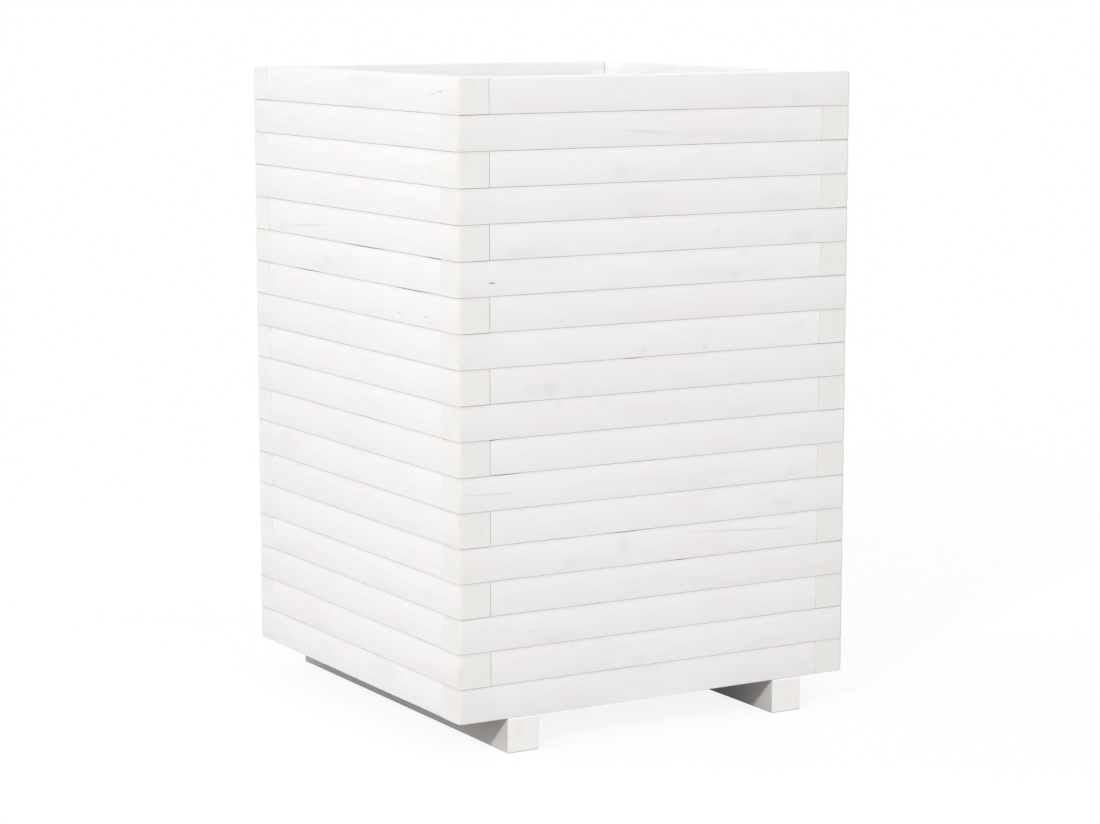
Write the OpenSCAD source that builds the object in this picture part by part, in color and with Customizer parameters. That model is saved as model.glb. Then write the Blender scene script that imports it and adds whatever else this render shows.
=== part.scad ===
// Raised planter: a square box of stacked timber bars on two foot runners.
// Corner posts and a slatted floor stand inside it. Millimetres, front towards -Y, ground at z = 0.

/* [Box] */
// Outside width and depth of the square box
side_w = 495; // [420:5:600]
// Number of courses stacked on the runners
course_n = 18; // [6:1:22]
// Height of one course
course_h = 37.6; // [30:0.2:46]

/* [Wall bars] */
// Thickness of a wall bar, through the wall
bar_t = 37.5; // [32:0.5:44]
// Radius of a bar's eased edges
bar_edge_r = 0.6; // [0.4:0.1:2]
// Radius of the box's four upright corners
corner_r = 4; // [3:0.5:8]

/* [Foot runners] */
// Width of a runner
runner_w = 38; // [32:1:46]
// Height of a runner
runner_h = 38.2; // [32:0.2:60]
// From the side of the box in to a runner
runner_inset = 58; // [50:1:64]
// Radius of a runner's eased edges
runner_edge_r = 1.5; // [0.6:0.1:3]

/* [Corner posts] */
// Width of a square post
post_w = 28; // [24:1:32]
// Radius of a post's eased edges
post_edge_r = 1.5; // [0.6:0.1:3]
// Wood above the middle of a post's highest screw
post_end_cover = 6.6; // [5:0.2:10]

/* [Floor] */
// Number of floor boards
board_n = 5; // [4:1:6]
// Thickness of a floor board
board_t = 18; // [15:1:24]
// Drainage gap between two floor boards
board_gap = 6; // [4:0.5:10]
// Gap between a floor board's end and the wall
board_end_gap = 1.5; // [0.5:0.5:4]
// Gap between a floor board's notch and its post
notch_gap = 1.5; // [0.5:0.5:4]
// Radius of a floor board's eased edges
board_edge_r = 1; // [0.5:0.1:2]

/* [Screws] */
// Thread diameter of the wall and floor screws
screw_d = 3.5; // [3:0.1:4]
// Head diameter of the wall and floor screws
screw_head_d = 7; // [6:0.1:7.6]
// Thread diameter of the runner screws
runner_screw_d = 5; // [4:0.5:6]
// Head diameter of the runner screws
runner_screw_head_d = 9.5; // [8.5:0.5:12]
// How far a wall screw bites into a bar
wall_bite = 22; // [15:1:26]
// How far a floor screw bites into a runner
floor_bite = 22; // [15:1:26]
// How far a runner screw bites into the bottom course
runner_bite = 27; // [18:1:27]
// Height of the front and back walls' screws above their course
screw_low_z = 6.5; // [5.5:0.5:8]
// From those screws up to the screws of the left and right walls
screw_step_z = 6.5; // [5.5:0.5:8]
// From a floor board's middle to each of its screws
board_screw_y = 20; // [12:1:24]
// Depth of a runner screw's head above the underside of its runner
runner_screw_sink = 6; // [4:0.5:10]

/* [Hidden] */
$fn = 32;
// Finishes
paint_white = [0.95, 0.945, 0.94];
zinc = [0.72, 0.73, 0.75];

// Screws: head below the face, straight rim of the head, clearance hole, tip and cross slot
head_sink = 0.3;
head_rim = 0.4;
clear_hole_gap = 0.25;
pilot_spare = 2;
tip_share = 1.6;
slot_share = 0.55;
slot_w_share = 0.13;
slot_depth_share = 0.24;

// Places worked out from the sizes above
half_w = side_w / 2;
bar_l = side_w - bar_t;
inner_half = half_w - bar_t;
post_c = inner_half - post_w / 2;
screw_high_z = screw_low_z + screw_step_z;
post_h = (course_n - 1) * course_h + screw_high_z + post_end_cover;
runner_x = half_w - runner_inset - runner_w / 2;
runner_screw_y = half_w - bar_t / 2;
board_pitch = 2 * inner_half / board_n;
board_w = board_pitch - board_gap;
board_l = 2 * (inner_half - board_end_gap);
board_top = runner_h + board_t;
wall_screw_l = post_w - head_sink + wall_bite;
floor_screw_l = board_t - head_sink + floor_bite;
runner_screw_l = runner_h - runner_screw_sink + runner_bite;
cut_margin = 1;

// Name of each post, and its side of the box in X and Y
POSTS = [["front_left", -1, -1], ["front_right", 1, -1], ["back_left", -1, 1], ["back_right", 1, 1]];

function course_name(k, walls) = str("course_", k < 10 ? "0" : "", k, "_", walls);
function course_z(k) = runner_h + (k - 1) * course_h;
function board_y(i) = (i - (board_n + 1) / 2) * board_pitch;

// Rectangle from the origin with its four corners rounded
module rounded_rect(w, h, r) {
    translate([r, 0]) square([w - 2 * r, h]);
    translate([0, r]) square([w, h - 2 * r]);
    for (x = [r, w - r], y = [r, h - r]) translate([x, y]) circle(r);
}

// Block from the origin with every edge eased by the same radius
module eased_block(x, y, z, r) {
    intersection() {
        linear_extrude(z) rounded_rect(x, y, r);
        rotate([90, 0, 90]) linear_extrude(x) rounded_rect(y, z, r);
        translate([0, y, 0]) rotate([90, 0, 0]) linear_extrude(y) rounded_rect(x, z, r);
    }
}

// Countersunk wood screw: head face at z = 0, tip pointing down
module screw(d, head_d, l) {
    head_h = head_rim + (head_d - d) / 2;
    slot_l = head_d * slot_share;
    slot_w = head_d * slot_w_share;
    slot_depth = head_d * slot_depth_share;
    difference() {
        rotate_extrude() polygon([
            [0, 0], [head_d / 2, 0], [head_d / 2, -head_rim], [d / 2, -head_h],
            [d / 2, -l + tip_share * d], [0, -l]
        ]);
        for (turn = [0, 90]) rotate([0, 0, turn])
            translate([-slot_l / 2, -slot_w / 2, -slot_depth])
                cube([slot_l, slot_w, slot_depth + cut_margin]);
    }
}

// Countersunk clearance hole for that screw, from the face at z = 0 down through the wood
module screw_seat(d, head_d, depth) {
    clear_r = d / 2 + clear_hole_gap;
    rim_z = -head_sink - head_rim;
    rotate_extrude() polygon([
        [0, cut_margin], [head_d / 2, cut_margin], [head_d / 2, rim_z],
        [clear_r, rim_z - head_d / 2 + clear_r], [clear_r, -depth - cut_margin], [0, -depth - cut_margin]
    ]);
}

// Pilot hole that a screw's thread fills, from z = 0 down
module pilot(d, bite) {
    translate([0, 0, -bite - pilot_spare]) cylinder(d = d, h = bite + pilot_spare + cut_margin);
}

// Turns a front wall's piece clockwise, seen from above: 90 to the left wall, 180 to the back, 270 to
// the right. Every second course is the mirror image of the one below, so that the joints cross.
module on_wall(turn, k) {
    mirror([k % 2 == 0 ? 1 : 0, 0, 0]) rotate([0, 0, -turn]) children();
}

// Plan of a bar: its edges are eased, and at the corner of the box it is rounded
module bar_plan() {
    difference() {
        rounded_rect(bar_l, bar_t, bar_edge_r);
        difference() {
            translate([-cut_margin, -cut_margin]) square(corner_r + cut_margin);
            translate([corner_r, corner_r]) circle(corner_r);
        }
    }
}

// One front wall bar. It runs through at the left corner and stops against its neighbour at the right.
module wall_bar(k, screw_z) {
    difference() {
        translate([-half_w, -half_w, course_z(k)]) intersection() {
            linear_extrude(course_h) bar_plan();
            rotate([90, 0, 90]) linear_extrude(bar_l) rounded_rect(bar_t, course_h, bar_edge_r);
            translate([0, bar_t, 0]) rotate([90, 0, 0]) linear_extrude(bar_t)
                rounded_rect(bar_l, course_h, bar_edge_r);
        }
        for (x = [-post_c, post_c])
            translate([x, -inner_half, course_z(k) + screw_z]) rotate([-90, 0, 0]) pilot(screw_d, wall_bite);
    }
}

// The two opposite bars of a course in the front and back walls
module front_back_bars(k) {
    color(paint_white) difference() {
        for (turn = [0, 180]) on_wall(turn, k) wall_bar(k, screw_low_z);
        if (k == 1) for (x = [-runner_x, runner_x], y = [-runner_screw_y, runner_screw_y])
            translate([x, y, runner_h]) rotate([180, 0, 0]) pilot(runner_screw_d, runner_bite);
    }
}

// The two opposite bars of a course in the left and right walls
module left_right_bars(k) {
    color(paint_white) for (turn = [90, 270]) on_wall(turn, k) wall_bar(k, screw_high_z);
}

// Foot runner on one side (-1 left, 1 right), drilled for the floor screws and its own two screws
module runner(side) {
    color(paint_white) difference() {
        translate([side * runner_x - runner_w / 2, -half_w, 0])
            eased_block(runner_w, side_w, runner_h, runner_edge_r);
        for (i = [1:board_n], dy = [-board_screw_y, board_screw_y])
            translate([side * runner_x, board_y(i) + dy, runner_h]) pilot(screw_d, floor_bite);
        for (y = [-runner_screw_y, runner_screw_y]) translate([side * runner_x, y, 0]) rotate([180, 0, 0]) {
            translate([0, 0, head_sink - runner_screw_sink])
                screw_seat(runner_screw_d, runner_screw_head_d, runner_h);
            translate([0, 0, -runner_screw_sink])
                cylinder(d = runner_screw_head_d, h = runner_screw_sink + cut_margin);
        }
    }
}

// Corner post, drilled through for one screw into each wall in every course
module post(sx, sy) {
    color(paint_white) difference() {
        translate([sx * post_c - post_w / 2, sy * post_c - post_w / 2, runner_h])
            eased_block(post_w, post_w, post_h, post_edge_r);
        at_post_screws(sx, sy) screw_seat(screw_d, screw_head_d, post_w);
    }
}

// Repeats a child at each wall screw of a post, with z = 0 on the post's inside face
module at_post_screws(sx, sy) {
    inside = post_w / 2;
    for (k = [1:course_n]) {
        translate([sx * post_c, sy * (post_c - inside), course_z(k) + screw_low_z])
            rotate([sy * 90, 0, 0]) children();
        translate([sx * (post_c - inside), sy * post_c, course_z(k) + screw_high_z])
            rotate([0, -sx * 90, 0]) children();
    }
}

// Floor board; the first and last are notched round the corner posts
module floor_board(i) {
    notch = post_w + notch_gap;
    color(paint_white) difference() {
        translate([-board_l / 2, board_y(i) - board_w / 2, runner_h])
            eased_block(board_l, board_w, board_t, board_edge_r);
        if (i == 1 || i == board_n) for (sx = [-1, 1]) {
            sy = i == 1 ? -1 : 1;
            translate([sx * inner_half - notch, sy * inner_half - notch, runner_h - cut_margin])
                cube([2 * notch, 2 * notch, board_t + 2 * cut_margin]);
        }
        for (x = [-runner_x, runner_x], dy = [-board_screw_y, board_screw_y])
            translate([x, board_y(i) + dy, board_top]) screw_seat(screw_d, screw_head_d, board_t);
    }
}

// Wall screws of one post
module post_screws(sx, sy) {
    color(zinc) at_post_screws(sx, sy)
        translate([0, 0, -head_sink]) screw(screw_d, screw_head_d, wall_screw_l);
}

// Screws that hold the floor boards on the runners
module floor_screws() {
    color(zinc) for (i = [1:board_n], x = [-runner_x, runner_x], dy = [-board_screw_y, board_screw_y])
        translate([x, board_y(i) + dy, board_top - head_sink]) screw(screw_d, screw_head_d, floor_screw_l);
}

// Screws that hold the runners under the front and back bars of the bottom course
module runner_screws() {
    color(zinc) for (x = [-runner_x, runner_x], y = [-runner_screw_y, runner_screw_y])
        translate([x, y, runner_screw_sink]) rotate([180, 0, 0])
            screw(runner_screw_d, runner_screw_head_d, runner_screw_l);
}

for (k = [1:course_n]) {
    front_back_bars(k);
    left_right_bars(k);
}
runner(-1);  // left_runner
runner(1);  // right_runner
for (p = POSTS) {
    post(p[1], p[2]);
    post_screws(p[1], p[2]);
}
for (i = [1:board_n])
    floor_board(i);
floor_screws();
runner_screws();
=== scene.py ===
"""Raised planter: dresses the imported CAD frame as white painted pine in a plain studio.

The 72 wall bars are new surfaces round their CAD nodes: crowned faces, eased and slightly
uneven edges, and a rounded end at the corner of the box. Runners, posts, floor boards and
screws keep their CAD shape and get a finish. Metres, Z up, front towards -Y.
"""

import fnmatch
import logging
import math
from collections.abc import Iterable, Iterator, Mapping, Sequence
from dataclasses import dataclass, field, replace
from enum import Enum

import bpy
import numpy as np
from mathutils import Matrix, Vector


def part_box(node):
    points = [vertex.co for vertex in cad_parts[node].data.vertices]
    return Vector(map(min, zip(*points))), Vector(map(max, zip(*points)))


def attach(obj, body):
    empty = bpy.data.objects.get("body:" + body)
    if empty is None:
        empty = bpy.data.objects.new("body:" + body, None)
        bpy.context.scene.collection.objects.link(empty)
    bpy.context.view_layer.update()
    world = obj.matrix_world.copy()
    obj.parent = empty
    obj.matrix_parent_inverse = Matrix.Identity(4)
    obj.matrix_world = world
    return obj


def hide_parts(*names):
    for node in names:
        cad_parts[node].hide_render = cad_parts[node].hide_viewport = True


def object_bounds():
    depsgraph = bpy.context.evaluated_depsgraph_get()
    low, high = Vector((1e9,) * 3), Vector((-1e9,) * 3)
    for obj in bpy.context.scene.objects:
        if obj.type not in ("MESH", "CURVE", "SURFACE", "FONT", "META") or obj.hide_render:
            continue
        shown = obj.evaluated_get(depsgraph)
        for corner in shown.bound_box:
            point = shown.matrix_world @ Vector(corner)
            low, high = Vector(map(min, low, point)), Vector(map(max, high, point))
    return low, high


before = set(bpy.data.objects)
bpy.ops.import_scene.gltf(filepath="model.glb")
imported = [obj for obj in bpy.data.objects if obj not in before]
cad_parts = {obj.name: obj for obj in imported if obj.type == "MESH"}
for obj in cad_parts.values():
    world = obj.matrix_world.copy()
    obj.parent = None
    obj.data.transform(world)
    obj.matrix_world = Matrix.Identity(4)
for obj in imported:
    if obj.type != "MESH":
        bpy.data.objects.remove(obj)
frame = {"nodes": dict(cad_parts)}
CAD_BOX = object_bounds()

LOG = logging.getLogger("planter")
MM = 0.001
SEED = 20
BODY = "root"

Feed = bpy.types.NodeSocket | float | Sequence[float]
Colour = tuple[float, float, float, float]


# Shader nodes


class Pattern(Enum):
    """Patterns of noise, by their cycles a metre along the grain and in the two directions across it."""

    RING_DRIFT = (2.4, 16, 16)
    FIBRE = (16, 420, 420)
    PORES = (90, 1300, 1300)
    KNOT_OUTLINE = (160, 160, 1)
    STAINS = (9, 34, 34)
    MARK_OUTLINE = (130, 260, 260)
    WORN_SPOTS = (26, 60, 60)
    ZINC_CLOUDS = (260, 260, 260)
    ZINC_SCRATCHES = (2600, 700, 2600)


class Tree:
    """Adds nodes to one node tree and joins them.

    Fields: tree; given and result, the inputs and outputs that a group has inside it.
    """

    tree: bpy.types.NodeTree
    given: Mapping[str, bpy.types.NodeSocket]
    result: Mapping[str, bpy.types.NodeSocket]

    def __init__(self, tree: bpy.types.NodeTree) -> None:
        """Keeps the tree that the other methods add to."""
        self.tree = tree

    @classmethod
    def of(cls, owner: bpy.types.Material | bpy.types.World) -> "Tree":
        """Starts the node tree of a new material or world.

        Args:
            owner: the material or world.

        Returns:
            Its tree, with no node in it.
        """
        owner.use_nodes = True
        owner.node_tree.nodes.clear()
        return cls(owner.node_tree)

    @classmethod
    def of_group(cls, name: str, takes: Mapping[str, Feed], gives: Sequence[str]) -> "Tree":
        """Starts a node group with named sockets.

        Args:
            name: the group's name.
            takes: each input's name and default: a number, or a vector of 3.
            gives: each output's name. An output is a number.

        Returns:
            The group's tree, with its input and output nodes in place.
        """
        tree = bpy.data.node_groups.new(name, "ShaderNodeTree")
        for way, sockets in (("INPUT", takes), ("OUTPUT", dict.fromkeys(gives, 0.0))):
            for label, default in sockets.items():
                kind = "NodeSocketVector" if isinstance(default, Sequence) else "NodeSocketFloat"
                socket = tree.interface.new_socket(label, in_out=way, socket_type=kind)
                socket.default_value = default
        group = cls(tree)
        group.given = tree.nodes.new("NodeGroupInput").outputs
        group.result = tree.nodes.new("NodeGroupOutput").inputs
        return group

    def feed(self, socket: bpy.types.NodeSocket, value: Feed) -> None:
        """Links a socket into an input, or sets the input's own value.

        Args:
            socket: the input.
            value: another node's output, or a number, vector or colour.
        """
        if isinstance(value, bpy.types.NodeSocket):
            self.tree.links.new(value, socket)
        else:
            socket.default_value = value

    def add(
        self, kind: str, settings: Mapping[str, object] | None = None, **inputs: Feed
    ) -> bpy.types.Node:
        """Adds a node.

        Args:
            kind: the node's type, such as ShaderNodeTexNoise.
            settings: properties of the node itself.
            **inputs: its input sockets by name, with _ for a blank.

        Returns:
            The new node.
        """
        node = self.tree.nodes.new(kind)
        for name, value in (settings or {}).items():
            setattr(node, name, value)
        for name, value in inputs.items():
            self.feed(node.inputs[name.replace("_", " ")], value)
        return node

    def use(self, group: bpy.types.NodeTree, **inputs: Feed) -> Mapping[str, bpy.types.NodeSocket]:
        """Places a node group and returns its outputs."""
        return self.add("ShaderNodeGroup", {"node_tree": group}, **inputs).outputs

    def calc(self, operation: str, *values: Feed) -> bpy.types.NodeSocket:
        """Adds a Math node.

        Args:
            operation: what it works out, such as ADD.
            *values: what it works on, in order.

        Returns:
            Its result.
        """
        node = self.add("ShaderNodeMath", {"operation": operation})
        for socket, value in zip(node.inputs, values):
            self.feed(socket, value)
        return node.outputs[0]

    def vector(self, operation: str, *values: Feed) -> bpy.types.NodeSocket:
        """Adds a Vector Math node.

        Args:
            operation: what it works out, such as ADD.
            *values: the vectors that it works on, in order.

        Returns:
            Its resulting vector.
        """
        node = self.add("ShaderNodeVectorMath", {"operation": operation})
        for socket, value in zip(node.inputs, values):
            self.feed(socket, value)
        return node.outputs["Vector"]

    def length(self, vector: Feed) -> bpy.types.NodeSocket:
        """Adds a Vector Math node that measures a vector.

        Args:
            vector: the vector.

        Returns:
            Its length.
        """
        node = self.add("ShaderNodeVectorMath", {"operation": "LENGTH"})
        self.feed(node.inputs[0], vector)
        return node.outputs["Value"]

    def total(self, start: Feed, parts: Iterable[tuple[Feed, float]]) -> Feed:
        """Adds weighted masks to a start value.

        Args:
            start: the value without them.
            parts: each mask and its weight.

        Returns:
            start plus the sum of mask * weight.
        """
        for mask, weight in parts:
            start = self.calc("ADD", start, self.calc("MULTIPLY", mask, weight))
        return start

    def step(
        self, value: Feed, start: float, end: float, low: float = 0.0, high: float = 1.0
    ) -> bpy.types.NodeSocket:
        """Adds a smooth step of a value.

        Args:
            value: the value.
            start: where the step begins.
            end: where it is complete.
            low: the result up to start.
            high: the result from end on.

        Returns:
            The stepped value.
        """
        node = self.add("ShaderNodeMapRange", {"interpolation_type": "SMOOTHSTEP"}, Value=value)
        for name, number in zip(("From Min", "From Max", "To Min", "To Max"), (start, end, low, high)):
            node.inputs[name].default_value = number
        return node.outputs["Result"]

    def fade(self, value: Feed, start: float, end: float) -> bpy.types.NodeSocket:
        """Returns a smooth step of a value from 1 at start to 0 at end."""
        return self.step(value, start, end, 1.0, 0.0)

    def band(self, value: Feed, rise: Sequence[float], fall: Sequence[float]) -> bpy.types.NodeSocket:
        """Returns a mask that rises to 1 over one range of a value and falls to 0 over the next."""
        return self.calc("MULTIPLY", self.step(value, *rise), self.fade(value, *fall))

    def noise(
        self, place: Feed, pattern: Pattern, detail: float = 2.0, rough: float = 0.5
    ) -> bpy.types.Node:
        """Adds 3-D noise of a place, in metres, in one of the patterns."""
        at = self.vector("MULTIPLY", place, pattern.value)
        return self.add("ShaderNodeTexNoise", Vector=at, Scale=1.0, Detail=detail, Roughness=rough)

    def waver(self, place: Feed, pattern: Pattern) -> bpy.types.NodeSocket:
        """Returns noise as a vector about 0, each part from -0.5 to 0.5."""
        return self.vector("SUBTRACT", self.noise(place, pattern).outputs["Color"], (0.5, 0.5, 0.5))

    def parts(self, colour: Feed) -> Sequence[bpy.types.NodeSocket]:
        """Returns the three parts of a colour."""
        return self.add("ShaderNodeSeparateColor", Color=colour).outputs

    def tint(self, share: Feed, colour: Feed, other: Feed) -> bpy.types.NodeSocket:
        """Mixes two colours.

        Args:
            share: how much of the other colour shows, 0 to 1.
            colour: the colour at 0.
            other: the colour at 1.

        Returns:
            The mixed colour.
        """
        node = self.add("ShaderNodeMix", {"data_type": "RGBA"})
        for socket, value in zip((node.inputs[0], node.inputs[6], node.inputs[7]), (share, colour, other)):
            self.feed(socket, value)
        return node.outputs[2]

    def attribute(self, name: str, output: str) -> bpy.types.NodeSocket:
        """Returns an output of an attribute of the mesh."""
        return self.add("ShaderNodeAttribute", {"attribute_name": name}).outputs[output]


# Defaults of the groups' places and marks, and where a halo begins and ends, in radii of its knot
NOWHERE = (0.0, 0.0, 0.0)
FAR_OFF = (9.0, 9.0, 9.0)
HALO = (0.8, 3.2)


def growth_rings() -> bpy.types.NodeTree:
    """Makes the group for the rings round the pith, which is the line Y = Z = 0 of Place.

    Ring number = |(y, z) + noise * Sway| / Width + Pull. Late wood grows in from a third of each ring's
    width, and ends sharply with the ring.

    Returns:
        A group from Place, Width, Sway and Pull to Late Wood, 0 to 1.
    """
    takes = {"Place": NOWHERE, "Width": 0.004, "Sway": 0.003, "Pull": 0.0}
    t = Tree.of_group("growth rings", takes, ["Late Wood"])
    grows_in, ends = (0.35, 0.88), (0.9, 1.0)
    drift = t.vector("MULTIPLY", t.waver(t.given["Place"], Pattern.RING_DRIFT), t.given["Sway"])
    across = t.vector("MULTIPLY", t.vector("ADD", t.given["Place"], drift), (0, 1, 1))
    number = t.calc("ADD", t.calc("DIVIDE", t.length(across), t.given["Width"]), t.given["Pull"])
    t.feed(t.result["Late Wood"], t.band(t.calc("FRACT", number), grows_in, ends))
    return t.tree


def wood_fibre() -> bpy.types.NodeTree:
    """Makes the group for the fine streaks along the grain.

    Returns:
        A group from Place to Fibre, streaks a few centimetres long, and Pores, short dark ones.
    """
    t = Tree.of_group("wood fibre", {"Place": NOWHERE}, ["Fibre", "Pores"])
    pore_range = (0.62, 0.78)
    streaks = t.noise(t.given["Place"], Pattern.FIBRE, detail=3.0, rough=0.6)
    t.feed(t.result["Fibre"], streaks.outputs[0])
    specks = t.noise(t.given["Place"], Pattern.PORES, detail=1.0)
    t.feed(t.result["Pores"], t.step(specks.outputs[0], *pore_range))
    return t.tree


def branch_knots() -> bpy.types.NodeTree:
    """Makes the group for stray knots, the ends of branches that run across the bar.

    Each cell of a Voronoi pattern over (x, z) may hold one knot. Its middle is the cell's point, and
    its distance is measured in metres, so that its shape doesn't follow the shape of the cells. It is
    a ragged oval, longer along the grain because branches slant, and Radius times 0.35 to 1.35 in size.

    Returns:
        A group from Place, Radius and Share, the part of the cells with a knot, to Heart, Rim and Halo.
    """
    takes = {"Place": NOWHERE, "Radius": 0.006, "Share": 0.3}
    t = Tree.of_group("branch knots", takes, ["Heart", "Rim", "Halo"])
    cell_length, cell_height = 0.16, 0.05
    oval = (0.7, 1.2, 0)
    ragged, least = 8 * MM, 0.35
    heart, rim_rise, rim_fall = (0.4, 1.15), (0.55, 0.95), (0.95, 1.5)
    place = t.add("ShaderNodeSeparateXYZ", Vector=t.given["Place"]).outputs
    flat = t.add("ShaderNodeCombineXYZ", X=place["X"], Y=place["Z"]).outputs[0]
    cells = t.add(
        "ShaderNodeTexVoronoi",
        {"voronoi_dimensions": "2D"},
        Vector=t.vector("DIVIDE", flat, (cell_length, cell_height, 1)),
        Scale=1.0,
    ).outputs
    middle = t.vector("MULTIPLY", cells["Position"], (cell_length, cell_height, 0))
    bent = t.vector("MULTIPLY", t.waver(flat, Pattern.KNOT_OUTLINE), (ragged, ragged, 0))
    apart = t.vector("MULTIPLY", t.vector("ADD", t.vector("SUBTRACT", flat, middle), bent), oval)
    chance = t.parts(cells["Color"])
    radius = t.calc("MULTIPLY", t.given["Radius"], t.calc("ADD", chance[0], least))
    distance = t.calc("DIVIDE", t.length(apart), radius)
    there = t.calc("LESS_THAN", chance[1], t.given["Share"])
    for name, mask in (
        ("Heart", t.fade(distance, *heart)),
        ("Rim", t.band(distance, rim_rise, rim_fall)),
        ("Halo", t.fade(distance, *HALO)),
    ):
        t.feed(t.result[name], t.calc("MULTIPLY", mask, there))
    return t.tree


def resin_stains() -> bpy.types.NodeTree:
    """Makes the group for broad blotches where the wood shows through the paint.

    Returns:
        A group from Place to the masks Cream, Olive and Grey.
    """
    starts = {"Cream": 0.5, "Olive": 0.58, "Grey": 0.54}
    spread = 0.22
    t = Tree.of_group("resin stains", {"Place": NOWHERE}, list(starts))
    noise = t.noise(t.given["Place"], Pattern.STAINS, detail=3.0, rough=0.55)
    clouds = t.parts(noise.outputs["Color"])
    for cloud, (name, start) in zip(clouds, starts.items()):
        t.feed(t.result[name], t.step(cloud, start, start + spread))
    return t.tree


def placed_mark() -> bpy.types.NodeTree:
    """Makes the group for one placed mark, a ragged ellipse that ends at length 1 of its own vector.

    Returns:
        A group from Mark, the vector, and Place to Body, the soft ellipse, Rim, its border, and Halo.
    """
    t = Tree.of_group("placed mark", {"Mark": FAR_OFF, "Place": NOWHERE}, ["Body", "Rim", "Halo"])
    ragged = (0.7, 0.7, 0.7)
    body, rim_rise, rim_fall = (0.35, 1.1), (0.6, 0.9), (0.9, 1.3)
    bent = t.vector("MULTIPLY", t.waver(t.given["Place"], Pattern.MARK_OUTLINE), ragged)
    distance = t.length(t.vector("ADD", t.given["Mark"], bent))
    t.feed(t.result["Body"], t.fade(distance, *body))
    t.feed(t.result["Rim"], t.band(distance, rim_rise, rim_fall))
    t.feed(t.result["Halo"], t.fade(distance, *HALO))
    return t.tree


def worn_edge() -> bpy.types.NodeTree:
    """Makes the group for thin paint along eased edges.

    Returns:
        A group from Edge, 1 on an eased edge, and Place to Thin, the whole edge, and Bare, worn spots.
    """
    t = Tree.of_group("worn edge", {"Edge": 0.0, "Place": NOWHERE}, ["Thin", "Bare"])
    thin, least, bare = (0.35, 0.65), 0.4, (0.6, 0.72)
    patches = t.noise(t.given["Place"], Pattern.WORN_SPOTS, detail=3.0, rough=0.6).outputs[0]
    t.feed(t.result["Thin"], t.calc("MULTIPLY", t.given["Edge"], t.step(patches, *thin, least, 1.0)))
    t.feed(t.result["Bare"], t.calc("MULTIPLY", t.given["Edge"], t.step(patches, *bare)))
    return t.tree


@dataclass(frozen=True)
class Effects:
    """The node groups that the finishes share, each built once."""

    rings: bpy.types.NodeTree
    fibre: bpy.types.NodeTree
    knots: bpy.types.NodeTree
    stains: bpy.types.NodeTree
    mark: bpy.types.NodeTree
    edge: bpy.types.NodeTree

    @classmethod
    def build(cls) -> "Effects":
        """Makes every group."""
        return cls(growth_rings(), wood_fibre(), branch_knots(), resin_stains(), placed_mark(), worn_edge())


# Finishes


class Grain(Enum):
    """Which way a piece's grain runs, as the turns in degrees that bring it to X."""

    ALONG_X = (0, 0, 0)
    ALONG_Y = (0, 0, -90)
    ALONG_Z = (0, 90, 0)

    def axis(self) -> tuple[float, float, float]:
        """Returns the unit vector along the grain."""
        return tuple(float(self is way) for way in (Grain.ALONG_X, Grain.ALONG_Y, Grain.ALONG_Z))


class MarkKind(Enum):
    """Kinds of placed marks on the bars."""

    KNOT = "knot"
    STAIN = "stain"
    STREAK = "streak"
    CRACK = "crack"

    def attribute(self, layer: int) -> str:
        """Returns the name of the attribute that holds the vector to a mark of this kind."""
        return f"{self.value}_place_{layer}"


MARK_LAYERS = 2
PALE_END = 0.2


@dataclass(frozen=True)
class Readings:
    """Where a finish is on its piece, as sockets of the material's tree.

    Fields: place, metres along the grain and across it from the pith; end, 1 on end grain; edge, 1 on an
    eased edge; inside, 1 on a face inside the box; joint, 1 on a face against another bar; under, 0 to 1
    up a bar that another lies on, which sets where painted shade darkens its top under the joint; tone, 0
    to 1, each bar's own shade; marks, the vectors to placed marks by kind.
    """

    place: Feed
    end: Feed
    edge: Feed = 0.0
    inside: Feed = 0.0
    joint: Feed = 0.0
    under: Feed = 0.0
    tone: Feed = 0.5
    marks: Mapping[MarkKind, Sequence[Feed]] = field(default_factory=dict)


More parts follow.
